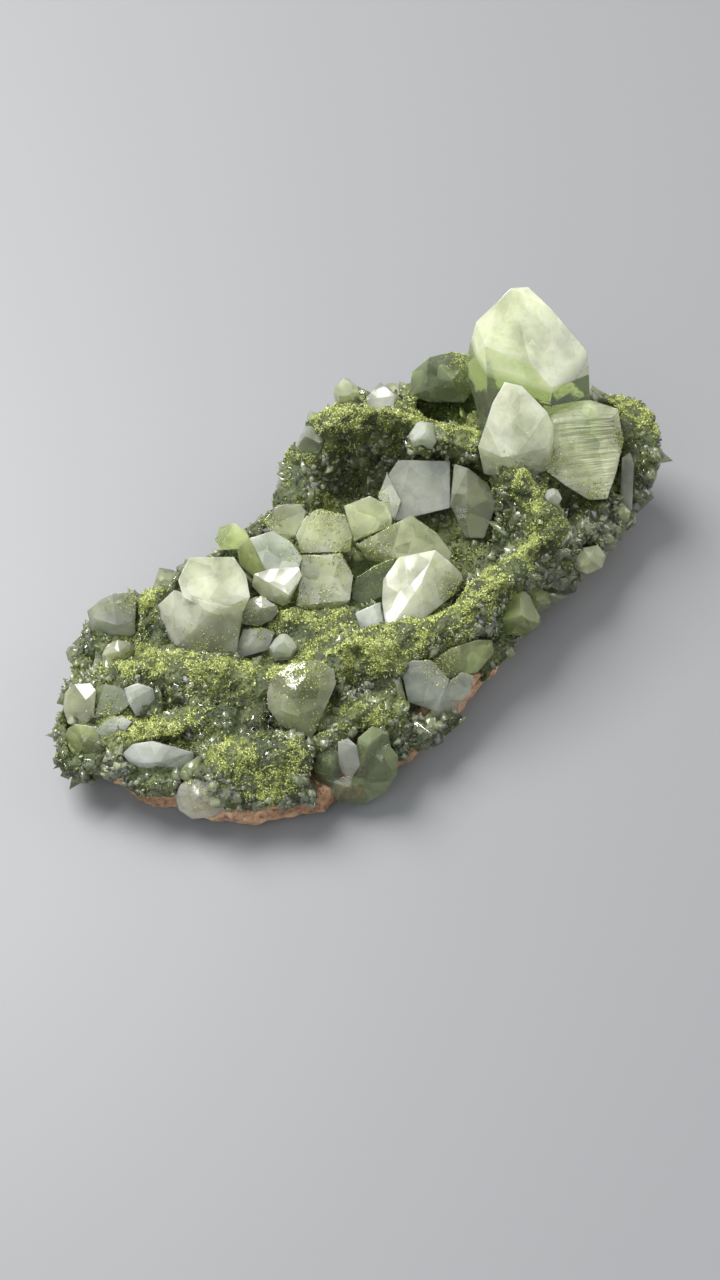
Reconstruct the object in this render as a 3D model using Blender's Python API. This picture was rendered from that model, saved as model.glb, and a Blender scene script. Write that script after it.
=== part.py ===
"""Epidote with quartz: a hand-sized mineral specimen.

A thin plate of brown host rock carries a crust of green epidote, which rises into two ridges
round an open basin. Pale green quartz points stand in the crust, one of them far taller than the
rest. The long side runs along X, the near side looks to -Y, and the plate's underside is at Z = 0.
Lengths below are in millimetres; the finished meshes are scaled to metres.
"""
import math
import random

import bpy
import bmesh
from mathutils import Matrix, Vector, geometry, noise

MM = 0.001

# Middle of the outline in plan, which the finished model has over its origin
MIDDLE = (-0.7, -0.3)

# Two faces that differ by less than this are one flat face
FLAT_ANGLE = math.radians(0.3)

# Clearance between pieces that touch
GAP = 0.3

# Host rock: a broken plate with a flat underside
ROCK_THICK = 6.0
ROCK_CHAMFER = 1.0
ROCK_WAIST = 0.4
ROCK_SLOPE = 0.6
ROCK_CHIP = 3.4
ROCK_CHIP_DEPTH = 1.3
ROCK_EDGE = [
    (-53, -4), (-51, -9), (-47, -12), (-45.5, -16), (-42, -20), (-37, -23), (-31, -25.5),
    (-24, -26.5), (-17, -27.3), (-10, -27), (-3, -25.5), (4, -24), (11, -21.5), (18, -18.5),
    (27, -17.5), (34, -16), (41, -15.5), (48, -13.5), (51.5, -9), (50, -2), (46, 5), (41, 12),
    (35, 18), (27, 21), (18, 23), (9, 25), (1, 23.5), (-6, 19), (-14, 18.5), (-23, 18.5),
    (-33, 19), (-41, 20.5), (-46.5, 20), (-49.5, 14), (-53, 9), (-55, 3),
]

# Epidote crust: each corner of its outline is (x, y, lower lip, upper lip)
CRUST_EDGE = [
    (-55, -4, 5, 7), (-51.5, -8.5, 6.3, 8), (-48, -12, 6.3, 8), (-45, -17, 6.3, 7.5),
    (-40, -20.5, 6.3, 7.5), (-34, -24, 6.3, 8), (-28, -27.5, 4, 7), (-21, -28.5, 4, 7),
    (-15, -27.5, 4, 6.5), (-9, -28, 4, 6.5), (-3, -27.5, 5, 7), (4, -24.5, 5, 7),
    (12, -22, 5, 7.5), (22, -19.3, 5.5, 8), (30, -20, 7, 10), (36, -17.5, 7, 10),
    (43, -16.5, 6.5, 9), (49, -14.5, 6.5, 11), (54, -11.5, 12, 17), (57.5, -6, 15, 18.5),
    (56, 0, 14, 18), (51, 5, 12, 19), (45, 12, 11, 20), (38, 19.5, 11, 20), (31, 24, 11, 19),
    (24, 25, 11, 19), (16, 28.5, 12, 20), (9, 29, 11, 19), (3, 27.5, 9, 16), (-3, 23, 8, 14),
    (-9, 20.5, 7, 12), (-16, 20.5, 6.3, 11), (-24, 20.5, 6.3, 11), (-33, 20.5, 6.3, 11),
    (-40, 22, 6.3, 10.5), (-45, 20.5, 6, 9), (-49, 16, 5, 8.5), (-54, 11, 5, 9),
    (-58, 6, 4.5, 9), (-58.5, 1, 4.5, 8),
]
CRUST_FLOOR = 9.0
CRUST_SHOULDER = 5.0
CRUST_CELL = 2.9
CRUST_CELL_SHIFT = 0.5
CRUST_RIM_CLEAR = 0.6
CRUST_UNDER = ROCK_THICK

# Ridges on the crust: crest points (x, y, height), then the half width of the ridge
RIDGE_ROUND = 2.4
RIDGES = [
    ([(-27, -10, 14), (-20, -11, 15.5), (-12, -13.5, 17), (-2, -17, 17.3), (8, -17.8, 19.2),
      (17, -17.5, 20.5), (25, -16, 21)], 6.5),
    ([(25, -16, 21), (27.5, -9, 22.7), (28, -2.5, 25), (26.5, 5.5, 24.5), (24, 12.5, 24),
      (19.5, 19.5, 24.5), (13, 26, 24)], 5.2),
    ([(12, 26, 23.5), (4, 25.5, 18.5), (-3, 20, 14.5), (-9, 18, 12.5)], 5.5),
    ([(33, 12, 24), (35, 2, 24.5), (34.5, -4, 22)], 8.0),
    ([(22, 23, 23), (32, 18, 24), (42, 9, 22.5), (50, 1, 20.5)], 9.0),
    ([(44, 2, 21), (53, -4, 20), (56, -7, 19.5)], 8.0),
    ([(47, -11.5, 14.5), (52, -8, 17)], 5.0),
    ([(29, -18, 16), (35, -15, 15.5), (44, -13.5, 12.5)], 5.0),
    ([(-50, 9, 11), (-43, 8, 13.5), (-37, 4, 14.5), (-31, -3, 15), (-26, -9, 14)], 5.0),
    ([(-52, 0, 10), (-46, -3, 12), (-39, -5, 12.5), (-34, -7, 12)], 4.0),
    ([(-41, -14, 11), (-36, -15, 13), (-31, -18, 12.5), (-34, -21, 10)], 5.0),
    ([(-37, 17, 14), (-28, 16, 14), (-20, 14, 12.5), (-12, 13, 13), (-4, 14, 13.5)], 6.0),
    ([(-14, 2, 12), (-8, -2, 12), (-14, -5, 12.5), (-20, -5, 12)], 5.0),
    ([(-23, -19, 13), (-17, -20, 12), (-9, -21, 11.5), (0, -22, 11)], 5.0),
]

# The far ridge leans over the basin: how far its crest is moved, and from what height
OVERHANG_RIDGE = 1
OVERHANG = (-3.0, -2.6)
OVERHANG_FROM = 17.0
OVERHANG_FULL = 23.0

# Hollows in the crust: (x, y, floor height, radius)
HOLLOW_ROUND = 0.7
HOLLOWS = [
    (19, 3, 8.0, 7.5),
    (14, 14, 8.5, 7.5),
    (-29, -13, 8.0, 3.2),
    (-16, -15.5, 8.5, 2.6),
]

# Lumps on the crust's top and side wall: their width, and how far they stand out
LUMP_WIDE = 9.0
LUMP_FINE = 4.2
LUMP_WIDE_HEIGHT = 1.2
LUMP_FINE_HEIGHT = 1.3
WALL_SWELL = 0.7
WALL_LUMP = 2.2
WALL_FULL = 8.0

# Layers of the noise field, one for each use of it
WIDE_LAYER = 3.1
FINE_LAYER = 7.7
WALL_LAYER = 5.3
PLAN_LAYER = 0.5

# Quartz: the angle between a crystal's axis and each of its six end faces
END_FACE_ANGLE = math.radians(38.2)
SIDES = 6
EVEN = (1.0,) * SIDES
REGULAR = (0.0, 0.22, 0.0, 0.22, 0.0, 0.22)
UNEVEN = 0.07
LOWEST_QUARTZ = 0.8
BREAK_SLANT = 0.25

# A cube that any piece fits in, before its faces are cut
ROOM = 400.0

# A loose bit smaller than this is a crumb left by a cut, not a piece
QUARTZ_CRUMB = 2.5
CRUST_CRUMB = 12.0

# The slab beside the tall point: thin, and cut square across the top
SLAB_ENDS = (0.3,) * SIDES
SLAB_FLATS = (0.1, 1.0, 1.0, 1.0, 1.0, 1.0)

BROWN = (0.30, 0.15, 0.09)
GREEN = (0.17, 0.22, 0.03)
PALE_GREEN = (0.70, 0.76, 0.62)


def quartz(tip, heading, tilt, width, length, facing, ends=REGULAR, flats=EVEN, broken=None):
    """One quartz point as a list of face planes (point, outward normal), in millimetres.

    The axis leans by tilt degrees from upright towards heading, a compass angle from +X.
    Face 0 of the six looks towards facing. ends lifts each end face along the axis and flats
    moves each side face out, both as shares of the width. broken is how far below the tip,
    as a share of the width, a fracture cuts the point off.
    """
    lean = math.radians(tilt)
    turn = math.radians(heading)
    axis = Vector((math.sin(lean) * math.cos(turn), math.sin(lean) * math.sin(turn), math.cos(lean)))
    look = math.radians(facing)
    side = Vector((math.cos(look), math.sin(look), 0.0))
    side = (side - axis * side.dot(axis)).normalized()
    tip = Vector(tip)
    foot = tip - axis * length
    chance = random.Random(round(abs(tip.x * 31 + tip.y * 17 + width * 7) * 10))
    planes = [(foot, -axis), (Vector((0, 0, LOWEST_QUARTZ)), Vector((0, 0, -1)))]
    for k in range(SIDES):
        out = Matrix.Rotation(math.tau * k / SIDES, 3, axis) @ side
        end = out * math.cos(END_FACE_ANGLE) + axis * math.sin(END_FACE_ANGLE)
        reach = (flats[k] + chance.uniform(-UNEVEN, UNEVEN)) * width / 2
        lift = (ends[k] + chance.uniform(0.0, UNEVEN)) * width
        planes.append((foot + out * reach, out))
        planes.append((tip + axis * lift, end))
    if broken is not None:
        slant = (axis + side * BREAK_SLANT).normalized()
        planes.append((tip - axis * (broken * width), slant))
    return planes


# Quartz pieces. Points that grew through each other share one piece.
QUARTZ = {
    "quartz_tall_cluster": [
        quartz((41.7, 10.2, 41.5), 63, 16, 17, 26, -90, (-0.15, 0.0, 0.02, 0.28, 0.32, 0.08)),
        quartz((29.4, 2.8, 32.5), 98, 22, 11.8, 12, -105, (0, 0.1, 0.2, 0.3, 0.2, 0.0)),
        quartz((46.2, 2.2, 23.5), 55, 40, 12.5, 16, 55, SLAB_ENDS, SLAB_FLATS, 0.15),
        quartz((50.6, 0.2, 23), 60, 25, 6.5, 9, -128),
        quartz((29.5, -4.5, 26.5), 240, 12, 5.6, 8, -128),
        quartz((30.5, 19.5, 27.5), 60, 18, 11, 12, -140, (0, 0.2, 0.3, 0.3, 0.3, 0), EVEN, 0.1),
        quartz((33.2, 14.5, 28), 20, 12, 6, 10, -150),
        quartz((25.3, 12.3, 25.5), 240, 20, 4.4, 6, -128),
        quartz((27.5, 7, 27.5), 200, 20, 4.6, 7, -100),
    ],
    "quartz_right_corner": [
        quartz((44.4, -13.9, 18.2), 200, 6, 4, 11, -128),
    ],
    "quartz_right_pendant": [
        quartz((54.5, -12.3, 12.5), -60, 80, 5, 8, 90),
    ],
    "quartz_near_right_knob": [
        quartz((30, -21.5, 12.5), 250, 50, 5.6, 8, -100),
    ],
    "quartz_near_wall": [
        quartz((11.5, -23, 15), 240, 40, 7, 10, -128),
        quartz((17, -22, 12), 250, 50, 5, 7, -100),
    ],
    "quartz_near_slope": [
        quartz((-9, -25.8, 14.3), 240, 38, 9.5, 7.5, -140, (0.1, 0.0, 0.1, 0.1, 0.1, 0.0)),
        quartz((1, -25.5, 12.7), 240, 50, 9.5, 6, -110),
        quartz((-5, -28.5, 9), 240, 60, 6, 8, -128),
    ],
    "quartz_front_nest": [
        quartz((-30, -26, 13), 220, 30, 8, 10, -120),
        quartz((-26, -27.5, 11.5), 240, 40, 7, 8, -128),
        quartz((-21.5, -27, 13), 260, 25, 7, 12, -110),
        quartz((-28, -30, 6.5), 240, 65, 7, 9, -128),
        quartz((-21, -30.5, 7), 250, 60, 6.5, 9, -100),
    ],
    "quartz_dusted_knob": [
        quartz((-24, -12.5, 18.5), 60, 12, 10.5, 10.5, -110, (0.1, 0, 0.1, 0, 0.1, 0), EVEN, 0.25),
    ],
    "quartz_front_left": [
        quartz((-48.5, -18.5, 7.7), 230, 62, 8.5, 8, -128, REGULAR, EVEN, 0.1),
    ],
    "quartz_lying_point": [
        quartz((-52, -6, 11.3), 170, 76, 5.4, 10.5, -60),
    ],
    "quartz_left_end": [
        quartz((-53, 8.5, 13), 140, 20, 6, 9, -128, REGULAR, EVEN, 0.2),
        quartz((-48, 5.5, 13), 0, 12, 6.5, 9, -110),
        quartz((-43.5, 2.5, 14), 20, 20, 5, 8, -128),
        quartz((-57, 3.5, 9.5), 200, 45, 6.5, 8, -128),
        quartz((-52, 0.5, 12.5), 230, 20, 6.5, 8, -100),
        quartz((-55, -4.2, 10), 225, 35, 6, 8, -128),
    ],
    "quartz_left_block": [
        quartz((-38.5, 20, 16), 52, 35, 8.6, 12, -128, (-0.15, 0.2, 0.3, 0.3, 0.3, 0.2)),
        quartz((-42.5, 12.5, 14.5), 240, 15, 5.2, 7, -128, REGULAR, EVEN, 0.15),
    ],
    "quartz_pale_cluster": [
        quartz((-26, 11.5, 22.5), 70, 12, 13, 16, -110, (0.1, 0, 0.1, 0.1, 0, 0.1), EVEN, 0.18),
        quartz((-32, 10, 18.5), 160, 25, 9, 12, -128, REGULAR, EVEN, 0.1),
        quartz((-27.5, 4, 15.5), 250, 30, 8.5, 10, -128),
        quartz((-21.6, 4.6, 16.5), 330, 20, 6.8, 11, -128),
    ],
    "quartz_middle_cluster": [
        quartz((-16.5, 18.5, 17.5), 150, 12, 5.6, 9, -128, REGULAR, EVEN, 0.2),
        quartz((-15, 14.5, 17), 120, 12, 6.2, 9, -128),
        quartz((-14, 10, 20.5), 100, 20, 8.6, 12, -100, (-0.1, 0.2, 0.1, 0.2, 0.1, 0.1)),
        quartz((-14.5, 5, 15.5), 250, 20, 7.5, 9, -140),
        quartz((-7, 16.5, 18), 110, 14, 8.4, 10, -150, (0.1, 0, 0.1, 0, 0.1, 0)),
        quartz((-3.5, 11.5, 19), 100, 15, 9.4, 12, -110, (0, 0.1, 0, 0.1, 0, 0.1), EVEN, 0.2),
        quartz((-9, 3, 17.5), 250, 6, 9.2, 12, -128, (0.2, 0.1, 0.1, 0, 0.1, 0.2), EVEN, 0.15),
        quartz((5, 10, 17.5), 60, 25, 9.0, 12, -140, (0, 0.2, 0.1, 0, 0.1, 0.2)),
        quartz((13, 1, 14.5), -20, 72, 8, 15, -128),
        quartz((-1, 0, 15.5), 60, 10, 7, 9, -128),
    ],
    "quartz_bright_point": [
        quartz((5.7, -10.9, 21.5), 5, 24, 12.2, 10.8, -115, (0.0, 0.05, 0.1, 0.1, 0.05, 0.0)),
    ],
    "quartz_bright_small": [
        quartz((-6.5, -7.4, 15.5), 200, 20, 5.4, 6, -128, REGULAR, EVEN, 0.2),
    ],
    "quartz_basin_pair": [
        quartz((20.5, 11.5, 21), 55, 28, 12, 16, -128, REGULAR, (0.35, 1, 1, 0.6, 1, 0.8)),
        quartz((23.5, 2.5, 20.5), 60, 18, 8.2, 14, -110),
    ],
    "quartz_white_bead": [
        quartz((-21.8, -4.2, 15.5), 240, 15, 3.8, 6, -128),
    ],
    "quartz_rim_white": [
        quartz((4.3, 25, 21), 200, 30, 4.8, 6, -128),
    ],
    "quartz_rim_peak": [
        quartz((14.3, 27, 27), 100, 10, 3.8, 7, -128),
    ],
    "quartz_rim_round": [
        quartz((19.5, 24, 25), 100, 15, 6, 7, -128, REGULAR, EVEN, 0.25),
    ],
    "quartz_rim_facet": [
        quartz((18, 9.4, 25), 240, 40, 4.8, 4.2, -128, REGULAR, EVEN, 0.1),
    ],
    "quartz_ridge_bead": [
        quartz((27.4, -12.2, 23.5), 240, 15, 2.8, 5, -128),
    ],
    "quartz_back_left": [
        quartz((-28, 22.5, 12), 80, 60, 6, 4.8, 60),
    ],
    "quartz_back_left_small": [
        quartz((-23, 22.3, 11), 100, 60, 4.8, 5, 100),
    ],
    "quartz_back_middle": [
        quartz((-1.5, 25.5, 13), 125, 60, 5.4, 6, 90),
        quartz((4, 29, 12.5), 110, 75, 4.6, 5.5, 70),
    ],
    "quartz_back_right": [
        quartz((25.6, 29, 17.3), 88, 68, 6.6, 4, 100),
        quartz((32.5, 27.6, 15.3), 60, 72, 6, 4.2, 60),
    ],
    "quartz_back_right_small": [
        quartz((38.8, 23.8, 16.6), 50, 72, 5.4, 4.2, 20),
    ],
    "quartz_back_corner": [
        quartz((53.9, 8.4, 16.5), 45, 65, 6, 4.6, 30),
        quartz((57.8, 2.7, 15.5), 15, 70, 5, 4.6, 0),
    ],
}


def solid_from_planes(planes, swell=0.0):
    """The convex solid inside all the planes, each moved outwards by swell."""
    body = bmesh.new()
    bmesh.ops.create_cube(body, size=ROOM)
    for point, normal in planes:
        geom = body.verts[:] + body.edges[:] + body.faces[:]
        cut = bmesh.ops.bisect_plane(
            body, geom=geom, dist=1e-5, plane_co=point + normal * swell, plane_no=normal,
            clear_outer=True)
        rim = [e for e in cut["geom_cut"] if isinstance(e, bmesh.types.BMEdge)]
        if len(rim) > 2:
            bmesh.ops.contextual_create(body, geom=rim)
    bmesh.ops.recalc_face_normals(body, faces=body.faces[:])
    return body


def paint(name, colour, roughness, transmission=0.0):
    """A plain material for one kind of mineral."""
    material = bpy.data.materials.new(name)
    material.use_nodes = True
    shader = material.node_tree.nodes["Principled BSDF"]
    shader.inputs["Base Color"].default_value = (*colour, 1.0)
    shader.inputs["Roughness"].default_value = roughness
    shader.inputs["Metallic"].default_value = 0.0
    shader.inputs["Transmission Weight"].default_value = transmission
    return material


def new_object(name, body):
    """An object in the scene with the mesh of a bmesh, still in millimetres."""
    mesh = bpy.data.meshes.new(name)
    body.to_mesh(mesh)
    body.free()
    thing = bpy.data.objects.new(name, mesh)
    bpy.context.scene.collection.objects.link(thing)
    return thing


def combine(thing, others, operation):
    """Applies one exact Boolean with the other objects, and removes them."""
    for other in others:
        step = thing.modifiers.new(operation, "BOOLEAN")
        step.operation = operation
        step.solver = "EXACT"
        step.object = other
        bpy.context.view_layer.update()
        depsgraph = bpy.context.evaluated_depsgraph_get()
        result = bpy.data.meshes.new_from_object(thing.evaluated_get(depsgraph))
        thing.modifiers.clear()
        thing.data = result
        bpy.data.objects.remove(other)


def drop_crumbs(thing, size):
    """Drops the crumbs that a cut leaves loose: bodies smaller than size, corner to corner."""
    body = bmesh.new()
    body.from_mesh(thing.data)
    unseen = set(body.verts)
    crumbs = []
    while unseen:
        stack = [unseen.pop()]
        group = [stack[0]]
        while stack:
            for edge in stack.pop().link_edges:
                for vert in edge.verts:
                    if vert in unseen:
                        unseen.discard(vert)
                        stack.append(vert)
                        group.append(vert)
        spans = [max(v.co[i] for v in group) - min(v.co[i] for v in group) for i in range(3)]
        if Vector(spans).length < size:
            crumbs += group
    bmesh.ops.delete(body, geom=crumbs, context="VERTS")
    body.to_mesh(thing.data)
    body.free()


def join_flat_faces(thing):
    """Joins neighbouring faces that lie in one plane."""
    body = bmesh.new()
    body.from_mesh(thing.data)
    bmesh.ops.dissolve_limit(
        body, angle_limit=FLAT_ANGLE, verts=body.verts[:], edges=body.edges[:])
    body.to_mesh(thing.data)
    body.free()


def outline_distance(x, y, outline):
    """Distance from a point to a closed outline, negative inside, and where on it: (index, share)."""
    nearest = 1e9
    place = (0, 0.0)
    inside = False
    for i, corner in enumerate(outline):
        ax, ay = corner[0], corner[1]
        following = outline[(i + 1) % len(outline)]
        bx, by = following[0], following[1]
        dx, dy = bx - ax, by - ay
        share = max(0.0, min(1.0, ((x - ax) * dx + (y - ay) * dy) / (dx * dx + dy * dy)))
        away = math.hypot(x - ax - share * dx, y - ay - share * dy)
        if away < nearest:
            nearest = away
            place = (i, share)
        if (ay > y) != (by > y) and x < ax + (y - ay) / (by - ay) * (bx - ax):
            inside = not inside
    return (-nearest if inside else nearest), place


def along_outline(outline, place, item):
    """The value of one item of the corners, at a place on the outline."""
    i, share = place
    a = outline[i][item]
    b = outline[(i + 1) % len(outline)][item]
    return a + (b - a) * share


def ridge_height(x, y, crest, half_width, floor):
    """Height of one ridge at a point: rounded across, following its crest along."""
    best = floor
    for (ax, ay, az), (bx, by, bz) in zip(crest, crest[1:]):
        dx, dy = bx - ax, by - ay
        share = max(0.0, min(1.0, ((x - ax) * dx + (y - ay) * dy) / (dx * dx + dy * dy)))
        away = math.hypot(x - ax - share * dx, y - ay - share * dy) / half_width
        if away < 1.0:
            top = az + (bz - az) * share
            best = max(best, floor + (top - floor) * (1.0 - away ** RIDGE_ROUND))
    return best


def crust_top(x, y):
    """Height of the crust's upper surface."""
    height = CRUST_FLOOR
    for crest, half_width in RIDGES:
        height = max(height, ridge_height(x, y, crest, half_width, CRUST_FLOOR))
    for hx, hy, floor, radius in HOLLOWS:
        away = math.hypot(x - hx, y - hy) / radius
        if away < 1.0:
            height += (floor - height) * (1.0 - away ** 2) ** HOLLOW_ROUND
    height += LUMP_WIDE_HEIGHT * noise.noise(Vector((x, y, WIDE_LAYER)) / LUMP_WIDE)
    height += LUMP_FINE_HEIGHT * noise.noise(Vector((x, y, FINE_LAYER)) / LUMP_FINE)
    away, place = outline_distance(x, y, CRUST_EDGE)
    lip = along_outline(CRUST_EDGE, place, 3)
    share = min(1.0, max(0.0, -away) / CRUST_SHOULDER)
    return lip + (height - lip) * math.sqrt(1.0 - (1.0 - share) ** 2)


def overhang_shift(x, y, z):
    """How far a point of the far ridge leans over the basin."""
    crest, half_width = RIDGES[OVERHANG_RIDGE]
    near = ridge_height(x, y, crest, half_width, 0.0) / max(p[2] for p in crest)
    rise = min(1.0, max(0.0, (z - OVERHANG_FROM) / (OVERHANG_FULL - OVERHANG_FROM)))
    away, _ = outline_distance(x, y, CRUST_EDGE)
    inland = min(1.0, max(0.0, -away) / CRUST_SHOULDER)
    share = near * rise * inland
    return OVERHANG[0] * share, OVERHANG[1] * share


def crust_bottom(x, y):
    """Height of the crust's underside: flat on the rock, rising or drooping outside it."""
    off_rock, _ = outline_distance(x, y, ROCK_EDGE)
    off_rock -= GAP
    if off_rock <= 0.0:
        return CRUST_UNDER
    from_edge, place = outline_distance(x, y, CRUST_EDGE)
    share = off_rock / (off_rock + abs(from_edge))
    return CRUST_UNDER + (along_outline(CRUST_EDGE, place, 2) - CRUST_UNDER) * share


def dense_outline(outline, step):
    """The outline with points about every step, its corners rounded off."""
    count = len(outline)
    points = []
    for i in range(count):
        a, b = Vector(outline[i - 1][:2]), Vector(outline[i][:2])
        c, d = Vector(outline[(i + 1) % count][:2]), Vector(outline[(i + 2) % count][:2])
        parts = max(1, round((c - b).length / step))
        for k in range(parts):
            t = k / parts
            bend = (2 * b + (c - a) * t + (2 * a - 5 * b + 4 * c - d) * t * t
                    + (3 * b - a - 3 * c + d) * t ** 3) / 2
            points.append(bend)
    return points


def crust_plan():
    """Flat triangles that fill the crust's outline: (points, triangles, count on the rim)."""
    rim = dense_outline(CRUST_EDGE, CRUST_CELL)
    inner = []
    row_step = CRUST_CELL * math.sqrt(3) / 2
    xs = [p.x for p in rim]
    ys = [p.y for p in rim]
    outline = [tuple(p) for p in rim]
    row = 0
    y = min(ys)
    while y < max(ys):
        x = min(xs) + (row % 2) * CRUST_CELL / 2
        while x < max(xs):
            shift = noise.noise_vector(Vector((x, y, PLAN_LAYER))) * CRUST_CELL_SHIFT
            px, py = x + shift.x, y + shift.y
            away, _ = outline_distance(px, py, outline)
            if away < -CRUST_RIM_CLEAR * CRUST_CELL:
                inner.append(Vector((px, py)))
            x += CRUST_CELL
        y += row_step
        row += 1
    loop = [(i, (i + 1) % len(rim)) for i in range(len(rim))]
    filled = geometry.delaunay_2d_cdt(rim + inner, loop, [], 1, 1e-4)
    return filled[0], filled[2], len(rim)


def build_crust():
    """The epidote crust before the quartz is set in it."""
    points, triangles, rim_count = crust_plan()
    body = bmesh.new()
    upper = []
    for p in points:
        height = crust_top(p.x, p.y)
        lean = overhang_shift(p.x, p.y, height)
        upper.append(body.verts.new((p.x + lean[0], p.y + lean[1], height)))
    lower = [body.verts.new((p.x, p.y, crust_bottom(p.x, p.y))) for p in points]
    for a, b, c in triangles:
        body.faces.new((upper[a], upper[b], upper[c]))
        body.faces.new((lower[c], lower[b], lower[a]))
    middle = []
    for i in range(rim_count):
        along = (points[(i + 1) % rim_count] - points[i - 1]).normalized()
        low, high = lower[i].co, upper[i].co
        swell = WALL_SWELL + WALL_LUMP * noise.noise(Vector((low.x, low.y, WALL_LAYER)) / LUMP_FINE)
        bulge = swell * min(1.0, (high.z - low.z) / WALL_FULL)
        place = (low + high) / 2 + Vector((along.y, -along.x, 0.0)) * bulge
        middle.append(body.verts.new(place))
    for i in range(rim_count):
        j = (i + 1) % rim_count
        body.faces.new((upper[i], middle[i], middle[j], upper[j]))
        body.faces.new((middle[i], lower[i], lower[j], middle[j]))
    bmesh.ops.recalc_face_normals(body, faces=body.faces[:])
    bmesh.ops.triangulate(body, faces=body.faces[:])
    return new_object("epidote_crust", body)


def build_rock(name, swell=0.0):
    """The host rock: a broken plate, its side chipped into flat facets."""
    plan = dense_outline(ROCK_EDGE, ROCK_CHIP)
    levels = [
        (-swell, ROCK_CHAMFER), (ROCK_THICK * ROCK_WAIST, 0.0), (ROCK_THICK + swell, ROCK_SLOPE)]
    body = bmesh.new()
    rings = []
    count = len(plan)
    for level, (height, inset) in enumerate(levels):
        ring = []
        for i, p in enumerate(plan):
            along = (plan[(i + 1) % count] - plan[i - 1]).normalized()
            inward = Vector((-along.y, along.x))
            spot = Vector((p.x, p.y, level * ROCK_CHIP)) / ROCK_CHIP
            chip = ROCK_CHIP_DEPTH * noise.noise(spot)
            place = p + inward * (inset + chip - swell)
            ring.append(body.verts.new((place.x, place.y, height)))
        rings.append(ring)
    for low, high in zip(rings, rings[1:]):
        for i in range(count):
            j = (i + 1) % count
            body.faces.new((low[i], low[j], high[j], high[i]))
    body.faces.new(rings[0][::-1])
    body.faces.new(rings[-1])
    bmesh.ops.recalc_face_normals(body, faces=body.faces[:])
    bmesh.ops.triangulate(body, faces=body.faces[:])
    return new_object(name, body)


def build_quartz(name, crystals):
    """One piece of quartz: its points joined in one solid, which stops at the rock."""
    first = new_object(name, solid_from_planes(crystals[0]))
    others = [new_object(name + "_more", solid_from_planes(c)) for c in crystals[1:]]
    combine(first, others, "UNION")
    combine(first, [build_rock("rock_swollen", GAP)], "DIFFERENCE")
    drop_crumbs(first, QUARTZ_CRUMB)
    return first


def main():
    for thing in list(bpy.data.objects):
        bpy.data.objects.remove(thing)
    rock = build_rock("host_rock")
    crust = build_crust()
    pieces = [build_quartz(name, crystals) for name, crystals in QUARTZ.items()]
    sockets = [new_object("socket", solid_from_planes(crystal, GAP))
               for crystals in QUARTZ.values() for crystal in crystals]
    combine(crust, [build_rock("rock_swollen", GAP)] + sockets, "DIFFERENCE")
    drop_crumbs(crust, CRUST_CRUMB)
    join_flat_faces(crust)

    brown = paint("host_rock_brown", BROWN, 0.85)
    green = paint("epidote_green", GREEN, 0.45)
    pale = paint("quartz_pale_green", PALE_GREEN, 0.08, 0.6)
    rock.data.materials.append(brown)
    crust.data.materials.clear()
    crust.data.materials.append(green)
    for piece in pieces:
        piece.data.materials.clear()
        piece.data.materials.append(pale)
    place = Matrix.Scale(MM, 4) @ Matrix.Translation((-MIDDLE[0], -MIDDLE[1], 0.0))
    for thing in bpy.data.objects:
        thing.data.transform(place)


main()
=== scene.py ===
import math

import bmesh
import bpy
import numpy as np
from mathutils import Matrix, Vector, noise
from mathutils.bvhtree import BVHTree


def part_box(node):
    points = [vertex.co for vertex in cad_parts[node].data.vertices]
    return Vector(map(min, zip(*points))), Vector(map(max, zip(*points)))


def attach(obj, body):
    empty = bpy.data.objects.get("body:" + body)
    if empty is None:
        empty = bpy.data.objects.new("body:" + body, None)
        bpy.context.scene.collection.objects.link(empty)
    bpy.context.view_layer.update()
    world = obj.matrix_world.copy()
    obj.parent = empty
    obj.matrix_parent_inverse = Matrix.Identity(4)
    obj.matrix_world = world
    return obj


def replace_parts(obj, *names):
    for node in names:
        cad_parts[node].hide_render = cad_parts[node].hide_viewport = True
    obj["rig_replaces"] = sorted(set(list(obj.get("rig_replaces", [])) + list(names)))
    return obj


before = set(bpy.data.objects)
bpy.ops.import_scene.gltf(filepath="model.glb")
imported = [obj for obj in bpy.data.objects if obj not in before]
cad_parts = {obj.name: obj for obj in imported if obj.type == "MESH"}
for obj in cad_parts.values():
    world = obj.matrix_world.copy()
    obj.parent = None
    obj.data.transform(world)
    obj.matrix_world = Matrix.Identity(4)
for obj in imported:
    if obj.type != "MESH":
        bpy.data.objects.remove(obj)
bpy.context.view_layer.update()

mm = 0.001


# The host rock: a thin plate of iron-stained rock that everything grew on. Its underside was sawn
# flat, and its sides are a fresh break that shows as an orange-brown edge below the crust.

weld_reach = 0.002 * mm
same_plane = math.radians(0.5)


def copy_of(node_name, name):
    """A piece with the mesh of a CAD node, its split corners welded and its flat faces whole."""
    thing = bpy.data.objects.new(name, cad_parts[node_name].data.copy())
    bpy.context.scene.collection.objects.link(thing)
    body = bmesh.new()
    body.from_mesh(thing.data)
    bmesh.ops.remove_doubles(body, verts=body.verts[:], dist=weld_reach)
    bmesh.ops.dissolve_limit(body, angle_limit=same_plane, verts=body.verts[:], edges=body.edges[:])
    body.to_mesh(thing.data)
    body.free()
    thing.data.materials.clear()
    return thing


def settle(thing):
    """Makes the result of a piece's modifiers its mesh."""
    shaped = thing.evaluated_get(bpy.context.evaluated_depsgraph_get())
    mesh = bpy.data.meshes.new_from_object(shaped)
    thing.modifiers.clear()
    thing.data = mesh


def mesh_evenly(thing, cell):
    """Meshes a piece anew in even cells of that size."""
    step = thing.modifiers.new("even", "REMESH")
    step.mode = "VOXEL"
    step.voxel_size = cell
    settle(thing)


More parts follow.
